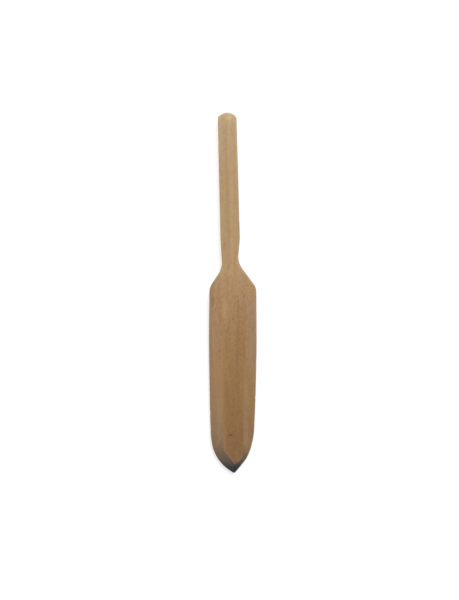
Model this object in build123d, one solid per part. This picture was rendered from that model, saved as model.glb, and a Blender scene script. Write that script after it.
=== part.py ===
from build123d import *
import os

# Wooden clay modeling tool, carved from one stick of beech.
#
# The tool lies flat on its back face. +Z is up, +Y points along the tool to the end of its handle, -Y to
# the tip of its blade, and +X is across it. The origin is the middle of its footprint, on its back face.
# It is made in the order in which the wood is worked: the outline is sawn from a board, the blade is
# planed thinner towards its tip, the edges are rounded over, and the side bevels and the facets of the
# tip are pared, alike on both faces.
# All sizes are in millimetres.

# Thickness of the board, and what is left of it at the tip once the upper face is planed down
BOARD_THICKNESS = 8.0
TIP_THICKNESS = 5.6
TAPER_START_Y = 6.0

# The ends of the tool, 200 mm apart
HANDLE_END_Y = 100.0
TIP_X = 0.85
TIP_Y = -100.0

# Rounding of every long edge, and of the handle's end
EDGE_ROUNDING = 1.2

# Outline of the tool from above, clockwise from the handle's end: each corner and the radius that rounds it
OUTLINE = [
    ((-2.85, HANDLE_END_Y + 1.46), 6.0),  # crown of the handle's end
    ((2.1, 97.6), 2.5),  # its right corner
    ((3.88, 29.8), 40.0),  # handle starts to narrow
    ((2.75, 16.8), 12.0),  # neck
    ((13.05, 3.05), 8.0),  # shoulder
    ((13.3, -28.0), 700.0),  # widest part of the blade
    ((12.55, -60.0), 500.0),
    ((11.75, -79.0), 40.0),  # side of the blade turns in
    ((10.1, -86.2), 20.0),  # arch of the tip
    ((7.85, -91.7), 14.0),
    ((TIP_X, TIP_Y - 0.43), 1.3),  # tip
    ((-10.1, -93.35), 22.0),
    ((-12.2, -80.6), 30.0),
    ((-12.75, -66.0), 300.0),
    ((-13.3, -26.0), 700.0),
    ((-12.95, 3.3), 9.0),
    ((-5.85, 13.9), 12.0),
    ((-6.9, 29.8), 40.0),
    ((-8.42, 97.6), 1.5),  # left corner of the handle's end, nearly square
]
WIDEST_X = 13.35  # nothing on the outline is further out than this

# Side bevels: places along the blade, each with the x of the ridge where the bevel leaves the flat face,
# and how far the bevel falls per mm out from that ridge. Both run out to nothing at the shoulders.
RIGHT_BEVEL = [
    (4.0, 15.0, 0.40),
    (-9.7, 11.0, 0.40),
    (-18.0, 8.8, 0.40),
    (-26.0, 7.7, 0.40),
    (-40.0, 6.6, 0.40),
    (-57.0, 6.3, 0.40),
    (-76.0, 6.3, 0.42),
    (-84.0, 6.0, 0.47),
    (-90.0, 4.9, 0.57),
    (-102.0, 3.6, 0.70),
]
LEFT_BEVEL = [
    (4.0, -15.0, 0.34),
    (-9.0, -10.2, 0.34),
    (-18.0, -7.3, 0.34),
    (-26.0, -5.9, 0.34),
    (-40.0, -5.4, 0.34),
    (-60.0, -5.1, 0.34),
    (-82.0, -4.7, 0.34),
    (-102.0, -3.6, 0.34),
]

# Tip facets, pared back from a V in the flat face: the direction of each arm of the V, and the facet's
# fall per mm out from that arm
V_POINT = (1.3, -94.9)
TIP_FACETS = [
    ((3.0, 2.7), 0.58),
    ((-5.1, 7.0), 0.42),
]

# How far a facet's cutting shape reaches along and out from its arm, and how far every cutting shape
# reaches past the wood
FACET_REACH = 30.0
OVERCUT = 6.0

# A face counts as flat if its normal is at least this upright
FLAT_NORMAL_Z = 0.9


def face_height(y):
    """Height of the upper face at y: level on the handle, then a straight taper to the tip."""
    taper = (BOARD_THICKNESS - TIP_THICKNESS) / (TAPER_START_Y - TIP_Y)
    return BOARD_THICKNESS - max(0.0, TAPER_START_Y - y) * taper


def sawn_outline():
    """The outline, cut straight through a board that is thicker than the finished tool."""
    corners = [corner for corner, _ in OUTLINE]
    radii = [radius for _, radius in OUTLINE]
    face = make_face(FilletPolyline(*corners, radius=radii, close=True))
    return extrude(face, BOARD_THICKNESS + OVERCUT)


def side_shape():
    """The tool's shape seen from the side, as wide as the board."""
    past_handle = HANDLE_END_Y + OVERCUT
    past_tip = TIP_Y - OVERCUT
    profile = Polyline(
        (0, past_handle, 0),
        (0, past_handle, BOARD_THICKNESS),
        (0, TAPER_START_Y, BOARD_THICKNESS),
        (0, past_tip, face_height(past_tip)),
        (0, past_tip, 0),
        close=True,
    )
    return extrude(make_face(profile), WIDEST_X + OVERCUT, dir=(1, 0, 0), both=True)


def blank():
    """The sawn and planed wood, with its upper and lower rims rounded over."""
    wood = sawn_outline() & side_shape()
    flats = [face for face in wood.faces() if abs(face.normal_at().Z) > FLAT_NORMAL_Z]
    rims = [edge for face in flats for edge in face.edges().filter_by(Axis.X, reverse=True)]
    return fillet(rims, EDGE_ROUNDING)


def bevel_cut(bevel, side, up):
    """The wedge of wood pared off for one bevel: side is 1 for +X or -1 for -X, up 1 or -1 for the face."""
    wedges = []
    outer_x = side * (WIDEST_X + OVERCUT)
    for y, ridge_x, fall in bevel:
        face_z = face_height(y) if up > 0 else 0.0
        low = (outer_x, y, face_z - up * fall * abs(outer_x - ridge_x))
        high_z = face_z + up * fall * OVERCUT
        inner = (ridge_x - side * OVERCUT, y, high_z)
        outer = (outer_x, y, high_z)
        wedges.append(make_face(Polyline(low, inner, outer, close=True)))
    return loft(wedges, ruled=True)


def facet_cut(arm, fall, up):
    """The wedge of wood pared off for one facet of the tip, on the upper (up 1) or lower (up -1) face."""
    along = Vector(*arm).normalized()
    out = Vector(along.Y, -along.X) if along.X > 0 else Vector(-along.Y, along.X)
    wedges = []
    for step in (-FACET_REACH, FACET_REACH):
        ridge = Vector(*V_POINT) + along * step
        face_z = face_height(ridge.Y) if up > 0 else 0.0
        inner = ridge - out * OVERCUT
        outer = ridge + out * FACET_REACH
        high_z = face_z + up * fall * OVERCUT
        corners = [
            (outer.X, outer.Y, face_z - up * fall * FACET_REACH),
            (inner.X, inner.Y, high_z),
            (outer.X, outer.Y, high_z),
        ]
        wedges.append(make_face(Polyline(*corners, close=True)))
    return loft(wedges, ruled=True)


def tool_body():
    """The finished tool, one piece of wood."""
    wood = blank()
    for up in (1, -1):
        for bevel, side in ((RIGHT_BEVEL, 1), (LEFT_BEVEL, -1)):
            wood -= bevel_cut(bevel, side, up)
        for arm, fall in TIP_FACETS:
            wood -= facet_cut(arm, fall, up)
    return wood


os.makedirs("parts", exist_ok=True)
tool = tool_body()
tool.label = "tool_body"
export_step(tool, "parts/tool_body.step")
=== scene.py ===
"""Wooden clay modeling tool, carved from one stick of beech, lying on a pale floor under soft light.

Lengths in the tables and constants are millimetres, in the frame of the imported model: +Y along the tool
to the end of its handle, +Z up from the face that it lies on. Blender's own units are metres.
"""

import math

import bpy
import numpy as np
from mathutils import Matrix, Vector, noise


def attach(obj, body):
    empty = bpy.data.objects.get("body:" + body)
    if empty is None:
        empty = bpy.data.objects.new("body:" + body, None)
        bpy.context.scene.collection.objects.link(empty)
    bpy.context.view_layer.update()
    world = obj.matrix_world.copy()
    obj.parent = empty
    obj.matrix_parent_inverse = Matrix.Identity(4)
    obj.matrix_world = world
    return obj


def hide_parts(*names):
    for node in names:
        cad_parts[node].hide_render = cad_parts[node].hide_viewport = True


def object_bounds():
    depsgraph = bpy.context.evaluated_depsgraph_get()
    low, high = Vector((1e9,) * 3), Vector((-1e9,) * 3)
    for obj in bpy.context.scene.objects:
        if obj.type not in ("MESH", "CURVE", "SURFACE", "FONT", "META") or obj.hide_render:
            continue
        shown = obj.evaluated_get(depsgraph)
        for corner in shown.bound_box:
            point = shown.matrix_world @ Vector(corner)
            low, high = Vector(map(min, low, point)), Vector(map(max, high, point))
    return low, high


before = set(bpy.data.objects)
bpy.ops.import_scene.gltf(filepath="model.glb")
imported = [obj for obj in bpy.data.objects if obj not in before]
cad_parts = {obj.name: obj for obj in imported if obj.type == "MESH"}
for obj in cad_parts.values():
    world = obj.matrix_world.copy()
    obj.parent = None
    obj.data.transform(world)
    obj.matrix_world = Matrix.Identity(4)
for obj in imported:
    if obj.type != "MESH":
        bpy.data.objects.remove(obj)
CAD_LOW, CAD_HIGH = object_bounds()

MM = 0.001
MM_PER_METRE = 1000

# ---------------------------------------------------------------- shape of the tool

BOARD_THICKNESS = 8.0
TIP_THICKNESS = 5.6
TAPER_START_Y = 6.0
HANDLE_END_Y = 100.0
TIP_X = 0.85
TIP_Y = -100.0

# Outline from above, clockwise from the handle's end: each corner and the radius that rounds it
OUTLINE = [
    ((-2.85, HANDLE_END_Y + 1.46), 6.0),  # crown of the handle's end
    ((2.1, 97.6), 2.5),  # its right corner
    ((3.88, 29.8), 40.0),  # handle starts to narrow
    ((2.75, 16.8), 12.0),  # neck
    ((13.05, 3.05), 8.0),  # shoulder
    ((13.3, -28.0), 700.0),  # widest part of the blade
    ((12.55, -60.0), 500.0),
    ((11.75, -79.0), 40.0),  # side of the blade turns in
    ((10.1, -86.2), 20.0),  # arch of the tip
    ((7.85, -91.7), 14.0),
    ((TIP_X, TIP_Y - 0.33), 1.0),  # tip
    ((-10.1, -93.35), 22.0),
    ((-12.2, -80.6), 30.0),
    ((-12.75, -66.0), 300.0),
    ((-13.3, -26.0), 700.0),
    ((-12.95, 3.3), 9.0),
    ((-5.85, 13.9), 12.0),
    ((-6.9, 29.8), 40.0),
    ((-8.42, 97.6), 1.5),  # left corner of the handle's end, nearly square
]

# Side bevels: places along the blade, the x of the ridge there, and how far the bevel falls per mm outwards
RIGHT_BEVEL = [
    (4.0, 15.0, 0.40),
    (-9.7, 11.0, 0.40),
    (-18.0, 8.8, 0.40),
    (-26.0, 7.7, 0.40),
    (-40.0, 6.6, 0.40),
    (-57.0, 6.3, 0.40),
    (-76.0, 6.3, 0.42),
    (-84.0, 6.0, 0.47),
    (-90.0, 4.9, 0.57),
    (-102.0, 3.6, 0.70),
]
LEFT_BEVEL = [
    (4.0, -15.0, 0.34),
    (-9.0, -10.2, 0.34),
    (-18.0, -7.3, 0.34),
    (-26.0, -5.9, 0.34),
    (-40.0, -5.4, 0.34),
    (-60.0, -5.1, 0.34),
    (-82.0, -4.7, 0.34),
    (-102.0, -3.6, 0.34),
]

# Tip facets: both start from a V in the flat face. Direction of each arm of the V, and the facet's fall
V_POINT = (1.3, -94.9)
TIP_FACETS = [
    ((3.0, 2.7), 0.58),
    ((-5.1, 7.0), 0.42),
]
EASING = (-3.0, -1.5, 0.0, 1.5, 3.0)  # the bevels' numbers are averaged over these shifts in y
RIDGE_SOFTNESS = 0.34  # difference in height over which the sanding has rounded each ridge

# Rounding of the rim: hand-softened on the handle, thin along the blade
HANDLE_ROUNDING = 1.35
BLADE_ROUNDING = 0.55
ROUNDING_CHANGES = (8.0, -30.0)  # y over which it goes from the one to the other
MAX_ROUNDING_SHARE = 0.44  # of the thickness of the edge

# Mesh: spokes run from the rim to the middle line, rings run round the tool. Between the two y values each
# spoke runs straight across; beyond them the spokes fan out from one point to the handle's end and the tip.
FAN_HANDLE_Y = 94.2
FAN_TIP_Y = -92.6
OUTLINE_STEP = 0.15  # between points on the arcs of the outline
SPOKE_STEP = 0.45
TIP_FAN_STEP = 0.28
ROUND_RINGS = 6
WALL_RINGS = 3
FACE_RINGS = 25
MIN_SQUARENESS = 0.35  # a spoke that meets the rim more slantwise than this counts as this slanted


def smooth(edge0, edge1, value):
    """0 at edge0, 1 at edge1, eased between; works on arrays."""
    t = np.clip((value - edge0) / (edge1 - edge0), 0.0, 1.0)
    return t * t * (3.0 - 2.0 * t)


def eased(table, column, y):
    """A column of a (y, ...) table at y, with its corners eased over a few millimetres."""
    rows = sorted(table)
    ys = [row[0] for row in rows]
    values = [row[column] for row in rows]
    return sum(np.interp(y + shift, ys, values) for shift in EASING) / len(EASING)


def rounded_outline(corners):
    """The (x, y) points along the closed outline, with each corner turned into its arc."""
    points = []
    for i, (corner, radius) in enumerate(corners):
        here = Vector(corner)
        back = (Vector(corners[i - 1][0]) - here).normalized()
        ahead = (Vector(corners[(i + 1) % len(corners)][0]) - here).normalized()
        half = back.angle(ahead) / 2
        centre = here + (back + ahead).normalized() * (radius / math.sin(half))
        start = here + back * (radius / math.tan(half)) - centre
        turn = start.angle_signed(here + ahead * (radius / math.tan(half)) - centre)
        count = max(2, math.ceil(abs(turn) * radius / OUTLINE_STEP))
        for k in range(count + 1):
            angle = -turn * k / count
            spin = (math.cos(angle), math.sin(angle))
            points.append((
                centre.x + start.x * spin[0] - start.y * spin[1],
                centre.y + start.x * spin[1] + start.y * spin[0],
            ))
    return np.array(points)


def outline_sides(points):
    """The right side from crown to tip, and the left side from tip to crown."""
    crown = int(points[:, 1].argmax())
    points = np.roll(points, -crown, axis=0)
    tip = int(points[:, 1].argmin())
    right = points[: tip + 1]
    left = np.vstack([points[tip:], points[:1]])
    return right, left


def along_path(path, step):
    """Points at even steps along a path, both ends included."""
    lengths = np.concatenate([[0.0], np.cumsum(np.hypot(*np.diff(path, axis=0).T))])
    count = max(2, round(lengths[-1] / step)) + 1
    at = np.linspace(0.0, lengths[-1], count)
    return np.column_stack([np.interp(at, lengths, path[:, 0]), np.interp(at, lengths, path[:, 1])])


def face_height(y):
    """Height of the flat upper face: level on the handle, tapering from the shoulders to the tip."""
    taper = (BOARD_THICKNESS - TIP_THICKNESS) / (TAPER_START_Y - TIP_Y)
    return BOARD_THICKNESS - taper * np.maximum(0.0, TAPER_START_Y - y)


def bevel_falls(x, y):
    """How far the right and the left bevel lie below the flat face at (x, y); negative inside the ridge."""
    right = eased(RIGHT_BEVEL, 2, y) * (x - eased(RIGHT_BEVEL, 1, y))
    left = eased(LEFT_BEVEL, 2, y) * (eased(LEFT_BEVEL, 1, y) - x)
    return right, left


def tip_falls(x, y):
    """How far the right and the left facet of the tip lie below the flat face at (x, y)."""
    falls = []
    for (along_x, along_y), fall in TIP_FACETS:
        length = math.hypot(along_x, along_y)
        side = 1 if along_x > 0 else -1
        out_x, out_y = side * along_y / length, -side * along_x / length
        falls.append(fall * ((x - V_POINT[0]) * out_x + (y - V_POINT[1]) * out_y))
    return falls


def soft_max(a, b, softness):
    """The larger of two heights, with the corner between them rounded."""
    overlap = np.maximum(softness - np.abs(a - b), 0.0) / softness
    return np.maximum(a, b) + overlap * overlap * softness * 0.25


def pared_depth(x, y):
    """Wood pared off either face at (x, y) by the bevels and the tip's facets, with soft ridges."""
    depth = np.zeros_like(x)
    for fall in (*bevel_falls(x, y), *tip_falls(x, y)):
        depth = soft_max(depth, fall, RIDGE_SOFTNESS)
    return depth


def make_spokes():
    """Rim point of every spoke, the points of the middle line, and which of these each spoke runs to.

    The spokes go clockwise from the top of the right side.
    """
    right, left = outline_sides(rounded_outline(OUTLINE))
    count = round((FAN_HANDLE_Y - FAN_TIP_Y) / SPOKE_STEP) + 1
    ys = np.linspace(FAN_HANDLE_Y, FAN_TIP_Y, count)
    right_x = np.interp(-ys, -right[:, 1], right[:, 0])
    left_x = np.interp(ys, left[:, 1], left[:, 0])
    middles = np.column_stack([(right_x + left_x) / 2, ys])

    right_rim = np.column_stack([right_x, ys])
    left_rim = np.column_stack([left_x, ys])[::-1]
    tip_path = np.vstack([
        right_rim[-1:], right[right[:, 1] < FAN_TIP_Y], left[left[:, 1] < FAN_TIP_Y], left_rim[:1]
    ])
    crown_path = np.vstack([
        left_rim[-1:], left[left[:, 1] > FAN_HANDLE_Y], right[right[:, 1] > FAN_HANDLE_Y], right_rim[:1]
    ])
    tip_rim = along_path(tip_path, TIP_FAN_STEP)[1:-1]
    crown_rim = along_path(crown_path, SPOKE_STEP)[1:-1]

    rims = np.vstack([right_rim, tip_rim, left_rim, crown_rim])
    owners = np.concatenate([
        np.arange(count),
        np.full(len(tip_rim), count - 1),
        np.arange(count)[::-1],
        np.zeros(len(crown_rim), int),
    ]).astype(int)
    return rims, middles, owners


def inward_normals(rims):
    """Unit normals of the rim, pointing into the wood."""
    tangent = np.roll(rims, -1, axis=0) - np.roll(rims, 1, axis=0)
    tangent /= np.hypot(tangent[:, 0], tangent[:, 1])[:, None]
    return np.column_stack([tangent[:, 1], -tangent[:, 0]])


def tool_grid():
    """x, y, z and inset of every spoke's points, and the middle points and which of them each spoke has.

    The points run from the middle of the upper face, round the rim, to the middle of the lower face. The
    inset is how far in from the rim a point lies.
    """
    rims, middles, owners = make_spokes()
    targets = middles[owners]
    reach = targets - rims
    lengths = np.hypot(reach[:, 0], reach[:, 1])
    directions = reach / lengths[:, None]
    square = np.clip(np.sum(directions * inward_normals(rims), axis=1), MIN_SQUARENESS, 1.0)

    edge_depth = pared_depth(rims[:, 0], rims[:, 1])
    edge_thickness = face_height(rims[:, 1]) - 2.0 * edge_depth
    blade_share = smooth(*ROUNDING_CHANGES, rims[:, 1])
    rounding = HANDLE_ROUNDING + (BLADE_ROUNDING - HANDLE_ROUNDING) * blade_share
    rounding = np.minimum(rounding, edge_thickness * MAX_ROUNDING_SHARE)

    arc = np.linspace(0.0, math.pi / 2, ROUND_RINGS + 1)
    inset = (rounding / square)[:, None] * (1.0 - np.cos(arc))[None, :]
    drop = rounding[:, None] * (1.0 - np.sin(arc))[None, :]
    inner = np.linspace(0.0, 1.0, FACE_RINGS + 1)[1:-1]
    first = inset[:, -1:]
    face_inset = first + (lengths[:, None] - first) * inner[None, :]
    inset = np.hstack([inset, face_inset])
    drop = np.hstack([drop, np.zeros_like(face_inset)])

    xs = rims[:, :1] + directions[:, :1] * inset
    ys = rims[:, 1:] + directions[:, 1:] * inset
    depth = pared_depth(xs, ys)
    upper = face_height(ys) - depth - drop
    lower = depth + drop

    wall = np.linspace(0.0, 1.0, WALL_RINGS + 1)[None, 1:-1]
    wall_z = upper[:, :1] + (lower[:, :1] - upper[:, :1]) * wall
    wall_x = np.repeat(xs[:, :1], wall.shape[1], axis=1)
    wall_y = np.repeat(ys[:, :1], wall.shape[1], axis=1)
    grid = [
        np.hstack([above[:, ::-1], between, below])
        for above, between, below in (
            (xs, wall_x, xs),
            (ys, wall_y, ys),
            (upper, wall_z, lower),
            (inset, np.zeros_like(wall_x), inset),
        )
    ]
    return np.stack(grid, axis=-1), middles, owners


def tool_faces(spokes, rings, owners, middle_top, middle_bottom):
    """Quads between neighbouring spokes, closed at the middle lines of both faces."""
    faces = []
    for i in range(spokes):
        j = (i + 1) % spokes
        a, b = i * rings, j * rings
        for k in range(rings - 1):
            faces.append((a + k, b + k, b + k + 1, a + k + 1))
        top = (b, a, middle_top[owners[i]], middle_top[owners[j]])
        bottom = (a + rings - 1, b + rings - 1, middle_bottom[owners[j]], middle_bottom[owners[i]])
        corners = 3 if owners[i] == owners[j] else 4
        faces += [top[:corners], bottom[:corners]]
    return faces


# ---------------------------------------------------------------- signs of hand work and use, and painted highlight, sheen and shade

# Slow waves that the rasp and the sandpaper left: height, lengths in x, y and z, and a shift of the noise
WAVES = [
    (0.055, (11.0, 24.0, 9.0), (0.0, 0.0, 0.0)),
    (0.026, (4.5, 9.0, 4.0), (7.0, 0.0, 0.0)),
    (0.008, (1.6, 5.0, 1.6), (0.0, 31.0, 0.0)),
]

# Small dents: place (x, y, z), radius and depth
DENTS = [
    ((-4.1, 61.0, 8.0), 1.1, 0.10),
    ((1.2, 43.5, 8.0), 0.8, 0.08),
    ((2.9, 78.2, 6.9), 0.9, 0.16),
    ((-8.2, 87.5, 6.9), 0.8, 0.14),
    ((-6.9, 35.0, 7.0), 1.0, 0.12),
    ((12.9, -38.5, 3.5), 1.0, 0.20),
    ((12.5, -58.0, 3.2), 0.7, 0.14),
    ((-12.9, -33.0, 3.4), 0.8, 0.16),
    ((-12.5, -66.5, 3.1), 1.1, 0.18),
    ((3.4, -33.0, 6.9), 1.3, 0.08),
    ((-3.3, -52.0, 6.4), 0.9, 0.07),
    ((7.9, 6.9, 7.2), 0.9, 0.14),
]
DENT_REACH = 2.5  # radii at which a dent has faded out
DENT_STEEPNESS = 1.6


def hand_work(point):
    """How far the surface at a point stands out along its normal, in mm, from waves and dents."""
    out = 0.0
    for height, lengths, shift in WAVES:
        out += height * noise.noise(Vector([c / size + s for c, size, s in zip(point, lengths, shift)]))
    for place, radius, depth in DENTS:
        gap = (point - Vector(place)).length / radius
        if gap < DENT_REACH:
            out -= depth * math.exp(-gap * gap * DENT_STEEPNESS)
    return out


# How dark the tip's stain is at each y: on the left bevels, on the right ones, and on the flat
STAIN_LEFT = [
    (-56.0, 0.0), (-72.0, 0.08), (-82.0, 0.22), (-87.5, 0.33),
    (-92.0, 0.50), (-95.0, 0.76), (-97.0, 0.92), (-99.0, 1.0),
]
STAIN_RIGHT = [(-82.0, 0.0), (-87.0, 0.16), (-92.0, 0.44), (-95.0, 0.72), (-97.0, 0.92), (-99.0, 1.0)]
STAIN_FLAT = [(-89.0, 0.0), (-93.0, 0.06), (-95.0, 0.42), (-96.0, 0.78), (-99.0, 1.0)]
STAIN_CHANGE = 1.6  # the left bevels' stain gives way to the right ones' over this to either side of the V

# Ramps between no mark and full mark
BLADE_START = (2.0, -14.0)  # y where the marks of the blade fade in
BEVEL_START = (-0.05, 0.35)  # fall below the flat face over which a bevel begins
RIDGE_WIDTH = 0.22  # fall, to either side of the ridge, that still counts as the ridge, where its painted highlight goes
PALE_EDGE = (0.3, 1.5)  # inset over which the paler edge ends
SHADED_RIM = (0.8, 2.8)  # inset over which the painted shade on the left rim of the blade ends
SHADED_RIM_X = (-4.0, -8.0)  # x over which it fades in
UPPER_SHARE = (0.45, 0.85)  # share of the thickness over which the marks in the upper face fade in

# Bands: from, to, and the fade beyond them
# y over which the painted shade on the left rim runs
SHADED_RIM_Y = (-84.0, 4.0, 5.0)
SHEEN_BANDS = [  # bands of painted sheen, paler and greyer, on the bevels: in x and in y, and how grey
    ((9.0, 11.8, 2.2), (-40.0, -8.0, 9.0), 0.8),  # below the right shoulder
    ((6.9, 8.0, 1.0), (-82.0, -54.0, 9.0), 0.6),  # right bevel
    ((-8.2, -6.6, 1.0), (-78.0, -64.0, 14.0), 0.5),  # left bevel
]
DEEP_INSET = 5.0  # inset of the middle points, well inside the rim


def along_y(table, y):
    """The second column of a (y, value) table at y."""
    rows = sorted(table)
    return np.interp(y, [row[0] for row in rows], [row[1] for row in rows])


def band(low, high, soft, value):
    """1 between low and high, fading out over soft beyond them."""
    return smooth(low - soft, low, value) * (1.0 - smooth(high, high + soft, value))


def wear_and_light_masks(points, inset):
    """For each point (mm): how much it has of every mark that the material shows: wear and stain, and painted
    highlight, sheen and shade.
    """
    x, y, z = points.T
    depth = pared_depth(x, y)
    share = (z - depth) / (face_height(y) - 2.0 * depth)
    right, left = bevel_falls(x, y)
    fall = np.maximum(np.maximum(right, left), np.maximum(*tip_falls(x, y)))
    on_blade = smooth(*BLADE_START, y)
    bevel = smooth(*BEVEL_START, fall)
    # painted highlight along each ridge of the blade
    ridge = np.exp(-((fall / RIDGE_WIDTH) ** 2)) * on_blade
    right_share = smooth(-STAIN_CHANGE, STAIN_CHANGE, x - V_POINT[0])
    on_bevel = along_y(STAIN_LEFT, y) * (1.0 - right_share) + along_y(STAIN_RIGHT, y) * right_share
    on_flat = along_y(STAIN_FLAT, y)
    stain = on_flat + (on_bevel - on_flat) * bevel
    # painted sheen on the bevels
    grey = sum(strength * band(*in_x, x) * band(*in_y, y) for in_x, in_y, strength in SHEEN_BANDS)
    return {
        "bevel": bevel * on_blade,
        "ridge": ridge,
        "stain": stain,
        "grey": np.clip(grey, 0.0, 1.0),
        # painted shade on the left rim of the blade
        "rim": (1.0 - smooth(*SHADED_RIM, inset)) * band(*SHADED_RIM_Y, y) * smooth(*SHADED_RIM_X, x),
        "edge": 1.0 - smooth(*PALE_EDGE, inset),
        "upper": smooth(*UPPER_SHARE, share),
    }


def carve_tool():
    """The whole tool as one closed mesh in metres."""
    grid, middles, owners = tool_grid()
    spokes, rings = grid.shape[:2]
    body = grid[..., :3].reshape(-1, 3)
    depth = pared_depth(middles[:, 0], middles[:, 1])
    top = np.column_stack([middles, face_height(middles[:, 1]) - depth])
    bottom = np.column_stack([middles, depth])
    points = np.vstack([body, top, bottom])
    middle_top = len(body) + np.arange(len(middles))
    middle_bottom = middle_top + len(middles)
    faces = tool_faces(spokes, rings, owners, middle_top, middle_bottom)

    mesh = bpy.data.meshes.new("carved_tool")
    mesh.from_pydata(points.tolist(), [], [tuple(int(v) for v in face) for face in faces])
    mesh.validate()
    inset = np.concatenate([grid[..., 3].ravel(), np.full(2 * len(middles), DEEP_INSET)])
    for name, values in wear_and_light_masks(points, inset).items():
        layer = mesh.attributes.new(name, "FLOAT", "POINT")
        layer.data.foreach_set("value", values.astype(np.float32))

    normals = [vertex.normal.copy() for vertex in mesh.vertices]
    for vertex, normal in zip(mesh.vertices, normals):
        moved = vertex.co + normal * hand_work(vertex.co)
        moved.z = max(moved.z, 0.0)
        vertex.co = moved * MM
    mesh.shade_smooth()
    mesh.update()
    return mesh


# ---------------------------------------------------------------- materials


def add_node(tree, kind, inputs=None, **settings):
    """A new node with its settings, and its inputs set to values or linked to sockets."""
    node = tree.nodes.new(kind)
    for name, value in settings.items():
        setattr(node, name, value)
    for key, value in (inputs or {}).items():
        if isinstance(value, bpy.types.NodeSocket):
            tree.links.new(value, node.inputs[key])
        else:
            node.inputs[key].default_value = value
    return node


def math_node(tree, operation, first, second=0.0, third=0.0, clamp=False):
    """Output of a Math node."""
    inputs = {0: first, 1: second, 2: third}
    return add_node(tree, "ShaderNodeMath", inputs, operation=operation, use_clamp=clamp).outputs[0]


def ramp(tree, value, low, high):
    """Value eased from 0 at low to 1 at high."""
    inputs = {"Value": value, "From Min": low, "From Max": high}
    node = add_node(tree, "ShaderNodeMapRange", inputs, interpolation_type="SMOOTHSTEP")
    return node.outputs["Result"]


def mix_colour(tree, amount, first, second, blend="MIX"):
    """Output of a colour Mix node."""
    node = add_node(tree, "ShaderNodeMix", data_type="RGBA", blend_type=blend)
    for key, value in ((0, amount), (6, first), (7, second)):
        if isinstance(value, bpy.types.NodeSocket):
            tree.links.new(value, node.inputs[key])
        else:
            node.inputs[key].default_value = value
    return node.outputs[2]


def combine(tree, x, y, z):
    """Vector from three numbers."""
    return add_node(tree, "ShaderNodeCombineXYZ", {"X": x, "Y": y, "Z": z}).outputs[0]


def noise_at(tree, vector, detail, roughness=0.5):
    """Noise centred on 0, about -0.5 to 0.5."""
    inputs = {"Vector": vector, "Scale": 1.0, "Detail": detail, "Roughness": roughness}
    factor = add_node(tree, "ShaderNodeTexNoise", inputs).outputs["Fac"]
    return math_node(tree, "SUBTRACT", factor, 0.5)


def srgb(red, green, blue):
    """An 8-bit display colour as the linear colour that shaders take."""
    def linear(value):
        value /= 255
        return value / 12.92 if value <= 0.04045 else ((value + 0.055) / 1.055) ** 2.4
    return (linear(red), linear(green), linear(blue), 1.0)


# Colour of the clean wood along the tool, paler at the handle and deeper brown towards the tip: partly the
# wood's own tone, partly painted light falloff from the handle's end. y and display colour
WOOD_AND_FALLOFF_ALONG = [
    (100.0, (198, 170, 128)),
    (92.0, (184, 155, 117)),
    (60.0, (175, 144, 103)),
    (30.0, (174, 144, 101)),
    (12.0, (174, 141, 99)),
    (-4.0, (165, 128, 87)),
    (-30.0, (152, 115, 69)),
    (-66.0, (139, 104, 57)),
    (-82.0, (135, 98, 55)),
    (-100.0, (126, 90, 52)),
]

# The edges are made a little paler and less yellow
EDGE_TINT = (1.06, 1.11, 1.30, 1.0)

# Display colours laid over the clean wood, marks as well as painted highlight, sheen and shade, and how much
# of each shows where its mask is full
FLECK_COLOUR = (122, 80, 46)
# painted highlight along the ridges of the blade
RIDGE_HIGHLIGHT_COLOUR, RIDGE_HIGHLIGHT_SHOWN = (196, 168, 136), 0.08
BEVEL_COLOUR, BEVEL_SHOWN = (184, 154, 114), 0.12
# painted shade on the left rim of the blade
RIM_SHADE_COLOUR, RIM_SHADE_SHOWN = (124, 104, 82), 0.42
# painted sheen on the bevels, broken up by the grain
SHEEN_COLOUR, SHEEN_SHOWN, SHEEN_PATCHES = (160, 136, 116), 0.30, 0.6
STAIN_COLOUR, STAIN_RAMP = (86, 73, 59), (0.0, 0.62)
BURNT_COLOUR, BURNT_RAMP = (31, 28, 27), (0.48, 1.0)
STAIN_PATCHES = 0.3  # how much the stain varies from place to place
CLEAN_BELOW = 0.15  # stain under which those patches fade out

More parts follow.
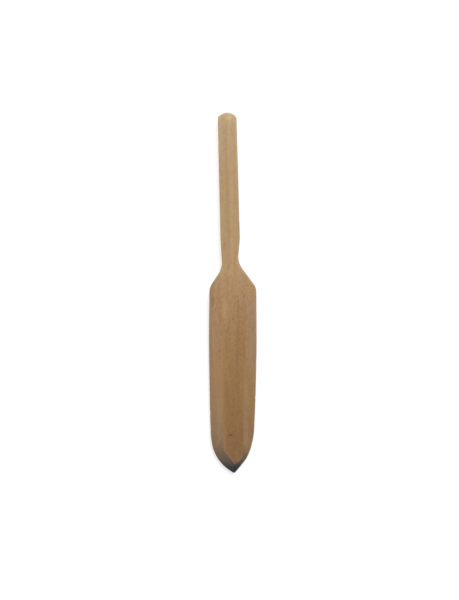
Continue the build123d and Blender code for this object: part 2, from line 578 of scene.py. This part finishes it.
# Marks in the upper face: place (x, y), half width, half length, strength, display colour
MARKS = [
    (-1.3, -78.7, 2.2, 2.2, 0.16, (112, 76, 40)),  # ring of darker wood round the pin knot
    (-1.3, -78.7, 1.2, 0.9, 0.60, (98, 62, 28)),  # pin knot
    (-1.25, -78.7, 0.62, 0.5, 0.80, (62, 34, 16)),  # its core
    (-0.4, -84.0, 4.6, 1.6, 0.22, (118, 74, 42)),  # brown mottles between the knot and the tip
    (2.2, -83.0, 1.6, 1.0, 0.30, (112, 70, 40)),
    (1.3, -88.4, 1.6, 1.2, 0.24, (150, 100, 84)),
    (2.0, -92.0, 1.8, 1.6, 0.30, (134, 108, 56)),
    (-7.4, -8.0, 0.6, 1.1, 0.24, (112, 80, 46)),  # row of flecks down the left of the blade
    (-7.3, -15.0, 0.6, 1.0, 0.24, (112, 80, 46)),
    (-7.5, -21.5, 0.6, 1.0, 0.28, (110, 80, 46)),
    (-7.2, -27.0, 0.6, 1.0, 0.28, (110, 80, 46)),
    (-7.4, -32.4, 0.7, 1.1, 0.44, (104, 76, 44)),
    (-7.3, -36.2, 0.7, 1.1, 0.44, (104, 76, 44)),
    (0.3, -14.6, 1.0, 0.8, 0.38, (112, 80, 46)),
    (2.6, -34.4, 0.7, 0.7, 0.38, (108, 76, 44)),
    (-10.4, 1.5, 1.8, 2.6, 0.34, (168, 112, 58)),  # orange wood at the left shoulder
    (-11.2, -4.5, 1.6, 3.0, 0.50, (144, 96, 50)),
    (-10.0, -10.5, 1.4, 2.6, 0.26, (160, 108, 58)),
    (0.5, 38.0, 0.8, 9.0, 0.38, (178, 126, 70)),  # orange streak that runs on through the neck
    (1.0, 19.0, 0.7, 10.0, 0.42, (172, 120, 64)),
    (-4.6, 26.0, 1.4, 4.4, 0.34, (158, 108, 60)),
    (-6.4, 20.0, 1.4, 8.0, 0.40, (136, 104, 74)),  # the neck is browner on its left
    (3.4, 20.5, 1.0, 7.0, 0.40, (196, 172, 138)),
    (-7.0, 66.0, 1.3, 18.0, 0.25, (176, 130, 82)),  # warmer wood down the left of the handle
    (3.2, -22.0, 1.8, 24.0, 0.28, (134, 94, 54)),  # darker streaks down the right of the blade
    (2.8, -8.0, 0.7, 7.0, 0.34, (132, 94, 60)),
    (5.5, -27.0, 1.1, 16.0, 0.26, (124, 86, 52)),
    (2.4, -54.0, 2.6, 26.0, 0.20, (122, 84, 48)),
    (-7.6, -28.0, 0.9, 15.0, 0.24, (118, 92, 66)),  # darker stripe under the row of flecks
    (-4.8, -66.0, 0.9, 20.0, 0.34, (122, 92, 44)),  # yellower wood along the left ridge
    (-4.0, -9.0, 2.8, 10.0, 0.26, (186, 154, 114)),  # paler wood below the neck
    (11.0, -80.5, 1.5, 6.0, 0.60, (100, 90, 80)),  # soiled edge
    (9.2, -74.0, 0.55, 9.0, 0.34, (122, 84, 48)),  # brown line on the right bevel
    (-2.2, 97.0, 2.6, 1.9, 0.40, (212, 192, 142)),  # paler at the handle's end: partly the wood's own tone, partly painted light
    (-7.9, 87.0, 0.7, 0.5, 0.45, (112, 88, 62)),
]

MARK_FADE = (0.3, 1.1)  # a mark fades out between these shares of its size
MARK_RAGGEDNESS = 0.5

# Heart of the tree that the board came from, off to one side and below
PITH_X = -34.0
PITH_Z = -48.0
RING_WIDTH = 2.3
RING_WOBBLE = 1.3  # in rings
LATE_WOOD_POWER = 3.0  # how late in its width a ring turns dark
RING_END = 0.12  # share of the next ring over which the dark wood ends
RING_END_DARK = 0.9  # how dark it still is where that ring begins
DRIFT = 5.0  # how far the grain wanders across the tool
SLANT = 0.012  # how far the grain runs across the tool per mm along it

# Noises in the wood: changes per mm round the tree, along it and out from its heart, and octaves of detail
GRAIN = {
    "wobble": (0.05, 0.02, 0.25, 2.0),
    "broad": (0.22, 0.008, 0.3, 2.0),
    "streak": (0.9, 0.022, 0.9, 3.0),
    "fibre": (3.2, 0.09, 3.2, 3.0),
    "mottle": (0.45, 0.19, 0.3, 2.0),
    "speckle": (1.1, 0.85, 0.8, 2.0),
    "hue": (0.3, 0.02, 0.4, 2.0),
    "fine_hue": (0.8, 0.2, 0.6, 2.0),
    "pores": (9.0, 0.75, 9.0, 1.0),
}
PORE_RAMP = (0.08, 0.2)

# Noises that don't follow the rings: changes per mm in x, y and z, octaves of detail, and roughness
PLACED = {
    "drift": (0.03, 0.011, 0.03, 2.0, 0.5),
    "ragged": (1.0, 0.45, 1.0, 3.0, 0.5),
    "blot": (0.55, 0.3, 0.55, 4.0, 0.6),
}

# Ray flecks, small and large: cells per mm round the tree, along it and out, size of a fleck in its cell,
# and share of the cells that have one
FLECKS = [
    (1.9, 0.38, 0.05, 0.46, 0.85),
    (0.95, 0.19, 0.04, 0.34, 0.7),
]
FLECK_CORE = 0.15  # share of its size over which a fleck is at full strength
FLECK_CHOICE = 0.15  # range of chance over which cells go from no fleck to a full one
FLECK_STRENGTH = 0.95

# The figure gets stronger from the handle to the blade: y and strength, at either end
FIGURE_Y = (30.0, -10.0)
FIGURE_STRENGTH = (0.18, 0.46)

# How much each part of the grain lightens or darkens the wood
TONES = {"broad": 0.26, "streak": 0.20, "mottle": 0.22, "fibre": 0.13, "rings": -0.08, "pores": -0.10}
RED_GAMMA, BLUE_GAMMA = 0.9, 1.18  # darker wood is redder
RED_HUE, BLUE_HUE = 0.12, -0.30  # change of each from one place to another

# Roughness, and what the grain and the stain do to it
ROUGHNESS = 0.56
ROUGHER = {"streak": 0.18, "pores": 0.12, "flecks": -0.10, "soil": -0.08}
WOOD_IOR = 1.46

# Relief of the grain in the surface
BUMP_HEIGHT = 0.05
RELIEF = {"fibre": 0.8, "pores": -0.6, "flecks": -0.35}


def wood_and_falloff_along(tree, y):
    """Base colour of the wood as it deepens from the handle to the blade, partly its own tone and partly
    painted light falloff.
    """
    span = WOOD_AND_FALLOFF_ALONG[0][0] - WOOD_AND_FALLOFF_ALONG[-1][0]
    place = math_node(tree, "DIVIDE", math_node(tree, "SUBTRACT", y, WOOD_AND_FALLOFF_ALONG[-1][0]), span)
    node = add_node(tree, "ShaderNodeValToRGB", {"Fac": place})
    stops = node.color_ramp.elements
    for _ in range(len(WOOD_AND_FALLOFF_ALONG) - len(stops)):
        stops.new(0.5)
    for stop, (at, colour) in zip(stops, reversed(WOOD_AND_FALLOFF_ALONG)):
        stop.position = (at - WOOD_AND_FALLOFF_ALONG[-1][0]) / span
        stop.color = srgb(*colour)
    return node.outputs["Color"]


def beech():
    """Sanded bare beech: growth rings, ray flecks, pores, marks such as the pin knot, and the dark tip, with
    painted light: falloff along the tool, highlight on the ridges, sheen on the bevels, shade on the left
    rim.
    """
    material = bpy.data.materials.new("beech")
    material.use_nodes = True
    tree = material.node_tree
    shader = tree.nodes["Principled BSDF"]

    coords = add_node(tree, "ShaderNodeTexCoord").outputs["Object"]
    to_mm = {0: coords, 1: (MM_PER_METRE, MM_PER_METRE, MM_PER_METRE)}
    scaled = add_node(tree, "ShaderNodeVectorMath", to_mm, operation="MULTIPLY")
    x, y, z = add_node(tree, "ShaderNodeSeparateXYZ", {0: scaled.outputs[0]}).outputs

    def placed(name):
        """One of the noises that don't follow the rings."""
        per_x, per_y, per_z, detail, roughness = PLACED[name]
        place = combine(tree, math_node(tree, "MULTIPLY", x, per_x), math_node(tree, "MULTIPLY", y, per_y),
                        math_node(tree, "MULTIPLY", z, per_z))
        return noise_at(tree, place, detail, roughness)

    # the grain drifts slowly across the tool
    slanted = math_node(tree, "MULTIPLY_ADD", y, SLANT, x)
    across = math_node(tree, "MULTIPLY_ADD", placed("drift"), DRIFT, slanted)
    from_pith_x = math_node(tree, "SUBTRACT", across, PITH_X)
    from_pith_z = math_node(tree, "SUBTRACT", z, PITH_Z)
    squares = math_node(tree, "ADD", math_node(tree, "MULTIPLY", from_pith_x, from_pith_x),
                        math_node(tree, "MULTIPLY", from_pith_z, from_pith_z))
    radius = math_node(tree, "SQRT", squares)
    angle = math_node(tree, "ARCTAN2", from_pith_x, from_pith_z)
    around = math_node(tree, "MULTIPLY", angle, math.hypot(PITH_X, PITH_Z))

    def in_tree(per_around, per_length, per_radius):
        """Place in the tree: round it, along it, and out from its heart, each with its own scale."""
        return combine(tree, math_node(tree, "MULTIPLY", around, per_around),
                       math_node(tree, "MULTIPLY", y, per_length),
                       math_node(tree, "MULTIPLY", radius, per_radius))

    def grain(name):
        """One of the noises in the wood."""
        *scales, detail = GRAIN[name]
        return noise_at(tree, in_tree(*scales), detail)

    ring = math_node(tree, "FRACT", math_node(tree, "MULTIPLY_ADD", grain("wobble"), RING_WOBBLE,
                                              math_node(tree, "DIVIDE", radius, RING_WIDTH)))
    late = math_node(tree, "POWER", ring, LATE_WOOD_POWER)
    ring_end = math_node(tree, "SUBTRACT", 1.0, ramp(tree, ring, 0.0, RING_END))
    ring_dark = math_node(tree, "MAXIMUM", late, math_node(tree, "MULTIPLY", ring_end, RING_END_DARK))

    streak = grain("streak")
    fibre = grain("fibre")
    mottle = grain("mottle")
    hue = math_node(tree, "ADD", grain("hue"), grain("fine_hue"))
    pore = ramp(tree, grain("pores"), *PORE_RAMP)

    def flecks(per_around, per_length, per_radius, size, share):
        """Spindles of ray tissue: lens-shaped on the face, long flakes on the sides."""
        place = in_tree(per_around, per_length, per_radius)
        cells = add_node(tree, "ShaderNodeTexVoronoi", {"Vector": place, "Scale": 1.0, "Randomness": 1.0})
        fading = ramp(tree, cells.outputs["Distance"], size * FLECK_CORE, size)
        chance = add_node(tree, "ShaderNodeSeparateColor", {0: cells.outputs["Color"]}).outputs[0]
        chosen = ramp(tree, chance, 1.0 - share, 1.0 - share + FLECK_CHOICE)
        return math_node(tree, "MULTIPLY", math_node(tree, "SUBTRACT", 1.0, fading), chosen)

    small, large = FLECKS
    fleck = math_node(tree, "MAXIMUM", flecks(*small), flecks(*large))

    figure = add_node(tree, "ShaderNodeMapRange", {
        "Value": y, "From Min": FIGURE_Y[0], "From Max": FIGURE_Y[1],
        "To Min": FIGURE_STRENGTH[0], "To Max": FIGURE_STRENGTH[1],
    }).outputs["Result"]

    def add_to(total, parts):
        """The total with each part, times its weight, added."""
        for value, weight in parts:
            total = math_node(tree, "MULTIPLY_ADD", value, weight, total)
        return total

    tone = add_to(1.0, [
        (grain("broad"), TONES["broad"]),
        (streak, TONES["streak"]),
        (mottle, TONES["mottle"]),
        (grain("speckle"), figure),
        (fibre, TONES["fibre"]),
        (ring_dark, TONES["rings"]),
        (pore, TONES["pores"]),
    ])

    def channel(gamma, hue_change):
        """Red or blue of the figure, from its tone."""
        hue_factor = math_node(tree, "MULTIPLY_ADD", hue, hue_change, 1.0)
        return math_node(tree, "MULTIPLY", math_node(tree, "POWER", tone, gamma), hue_factor)

    red = channel(RED_GAMMA, RED_HUE)
    blue = channel(BLUE_GAMMA, BLUE_HUE)
    # the base colour carries painted light falloff from the handle's end to the tip
    colour = mix_colour(tree, 1.0, wood_and_falloff_along(tree, y), combine(tree, red, tone, blue), "MULTIPLY")
    shown_fleck = math_node(tree, "MULTIPLY", fleck, math_node(tree, "MULTIPLY", figure, FLECK_STRENGTH))
    colour = mix_colour(tree, shown_fleck, colour, srgb(*FLECK_COLOUR))

    def mask(name):
        """One of the mesh's masks of wear, stain and painted light."""
        return add_node(tree, "ShaderNodeAttribute", attribute_name=name).outputs["Fac"]

    upper = mask("upper")
    ragged = placed("ragged")

    def spot(at_x, at_y, wide, long):
        """1 at a place on the upper side, fading out over an oval."""
        dx = math_node(tree, "DIVIDE", math_node(tree, "SUBTRACT", x, at_x), wide)
        dy = math_node(tree, "DIVIDE", math_node(tree, "SUBTRACT", y, at_y), long)
        gap = math_node(tree, "SQRT", math_node(tree, "ADD", math_node(tree, "MULTIPLY", dx, dx),
                                                math_node(tree, "MULTIPLY", dy, dy)))
        ragged_gap = math_node(tree, "MULTIPLY_ADD", ragged, MARK_RAGGEDNESS, gap)
        oval = math_node(tree, "SUBTRACT", 1.0, ramp(tree, ragged_gap, *MARK_FADE))
        return math_node(tree, "MULTIPLY", oval, upper)

    for at_x, at_y, wide, long, amount, mark_colour in MARKS:
        mark = math_node(tree, "MULTIPLY", spot(at_x, at_y, wide, long), amount)
        colour = mix_colour(tree, mark, colour, srgb(*mark_colour))

    # painted highlight along the ridges of the blade
    ridge_highlight = math_node(tree, "MULTIPLY", mask("ridge"), RIDGE_HIGHLIGHT_SHOWN)
    colour = mix_colour(tree, ridge_highlight, colour, srgb(*RIDGE_HIGHLIGHT_COLOUR))
    lifted = math_node(tree, "MULTIPLY", mask("bevel"), BEVEL_SHOWN)
    colour = mix_colour(tree, lifted, colour, srgb(*BEVEL_COLOUR))
    # painted sheen on the bevels, broken up by the grain
    uneven = add_to(SHEEN_SHOWN, [(mottle, SHEEN_PATCHES), (streak, SHEEN_PATCHES)])
    painted_sheen = math_node(tree, "MULTIPLY", mask("grey"), uneven, clamp=True)
    colour = mix_colour(tree, painted_sheen, colour, srgb(*SHEEN_COLOUR))
    # painted shade on the left rim of the blade
    rim_shade = math_node(tree, "MULTIPLY", mask("rim"), RIM_SHADE_SHOWN)
    colour = mix_colour(tree, rim_shade, colour, srgb(*RIM_SHADE_COLOUR))
    colour = mix_colour(tree, mask("edge"), colour, EDGE_TINT, "MULTIPLY")

    stain = mask("stain")
    patches = math_node(tree, "MULTIPLY", ramp(tree, stain, 0.0, CLEAN_BELOW), STAIN_PATCHES)
    soil = math_node(tree, "ADD", stain, math_node(tree, "MULTIPLY", placed("blot"), patches), clamp=True)
    colour = mix_colour(tree, ramp(tree, soil, *STAIN_RAMP), colour, srgb(*STAIN_COLOUR))
    colour = mix_colour(tree, ramp(tree, soil, *BURNT_RAMP), colour, srgb(*BURNT_COLOUR))
    tree.links.new(colour, shader.inputs["Base Color"])

    effects = {"streak": streak, "pores": pore, "flecks": fleck, "soil": soil, "fibre": fibre}
    rough = add_to(ROUGHNESS, [(effects[name], weight) for name, weight in ROUGHER.items()])
    tree.links.new(rough, shader.inputs["Roughness"])
    shader.inputs["IOR"].default_value = WOOD_IOR

    height = add_to(0.0, [(effects[name], weight) for name, weight in RELIEF.items()])
    bump = add_node(tree, "ShaderNodeBump", {"Strength": 1.0, "Distance": BUMP_HEIGHT * MM, "Height": height})
    tree.links.new(bump.outputs["Normal"], shader.inputs["Normal"])
    return material


# ---------------------------------------------------------------- the object


def add_tool():
    """The carved tool, in place of its CAD solid."""
    piece = bpy.data.objects.new("carved_tool", carve_tool())
    bpy.context.scene.collection.objects.link(piece)
    piece.data.materials.append(beech())
    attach(piece, "root")
    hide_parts("tool_body")


# ---------------------------------------------------------------- stage, light and camera

WHITE = (1.0, 1.0, 1.0, 1.0)
FLOOR_COLOUR = (0.92, 0.92, 0.92, 1.0)
FLOOR_ROUGHNESS = 0.9
FLOOR_SPECULAR = 0.1
FLOOR_GLOW = 0.34
FLOOR_SIZE = 8000.0
FLOOR_GAP = 0.05  # below the tool
WORLD_LIGHT = 0.48
BACKDROP_LIGHT = 1.05

# Broad soft lights: the direction that each one's light comes from, how wide its source looks in degrees,
# and its strength
LIGHTS = {
    "key": ((0.35, 0.70, 0.85), 32.0, 1.62),
    "fill": ((-0.6, -0.2, 0.7), 55.0, 0.79),
}

# Camera, straight above this place
CAMERA_X = -1.86
CAMERA_Y = -3.9
VIEW_HEIGHT = 333.4  # what the picture's height spans at the tool
LENS = 85.0
SENSOR = 36.0


def floor_white():
    """Matte white with a little glow of its own, so that the floor stays pale under the tool."""
    material = bpy.data.materials.new("pale_floor")
    material.use_nodes = True
    shader = material.node_tree.nodes["Principled BSDF"]
    shader.inputs["Base Color"].default_value = FLOOR_COLOUR
    shader.inputs["Roughness"].default_value = FLOOR_ROUGHNESS
    shader.inputs["Specular IOR Level"].default_value = FLOOR_SPECULAR
    shader.inputs["Emission Color"].default_value = WHITE
    shader.inputs["Emission Strength"].default_value = FLOOR_GLOW
    return material


def add_floor():
    """A large pale floor."""
    half = FLOOR_SIZE * MM / 2
    corners = [(-half, -half, 0), (half, -half, 0), (half, half, 0), (-half, half, 0)]
    mesh = bpy.data.meshes.new("floor")
    mesh.from_pydata(corners, [], [(0, 1, 2, 3)])
    floor = bpy.data.objects.new("floor", mesh)
    floor.location.z = CAD_LOW.z - FLOOR_GAP * MM
    bpy.context.scene.collection.objects.link(floor)
    mesh.materials.append(floor_white())


def add_lights():
    """The broad soft lights."""
    for name, (direction, spread, strength) in LIGHTS.items():
        data = bpy.data.lights.new(name, "SUN")
        data.angle = math.radians(spread)
        data.energy = strength
        light = bpy.data.objects.new(name, data)
        light.location = direction
        light.rotation_euler = (-Vector(direction)).to_track_quat("-Z", "Y").to_euler()
        bpy.context.scene.collection.objects.link(light)


def add_world():
    """Even light from all round, and a plain white backdrop."""
    world = bpy.data.worlds.new("studio")
    world.use_nodes = True
    tree = world.node_tree
    seen = add_node(tree, "ShaderNodeLightPath").outputs["Is Camera Ray"]
    strength = math_node(tree, "MULTIPLY_ADD", seen, BACKDROP_LIGHT - WORLD_LIGHT, WORLD_LIGHT)
    background = tree.nodes["Background"]
    background.inputs["Color"].default_value = WHITE
    tree.links.new(strength, background.inputs["Strength"])
    bpy.context.scene.world = world


def add_camera():
    """Straight down on the tool, its handle towards the top of the picture."""
    data = bpy.data.cameras.new("camera")
    data.lens = LENS
    data.sensor_width = SENSOR
    camera = bpy.data.objects.new("camera", data)
    distance = VIEW_HEIGHT * LENS / SENSOR
    camera.location = Vector((CAMERA_X, CAMERA_Y, distance + BOARD_THICKNESS / 2)) * MM
    bpy.context.scene.collection.objects.link(camera)
    bpy.context.scene.camera = camera


add_tool()
add_floor()
add_world()
add_lights()
add_camera()
bpy.context.scene.view_settings.view_transform = "Standard"
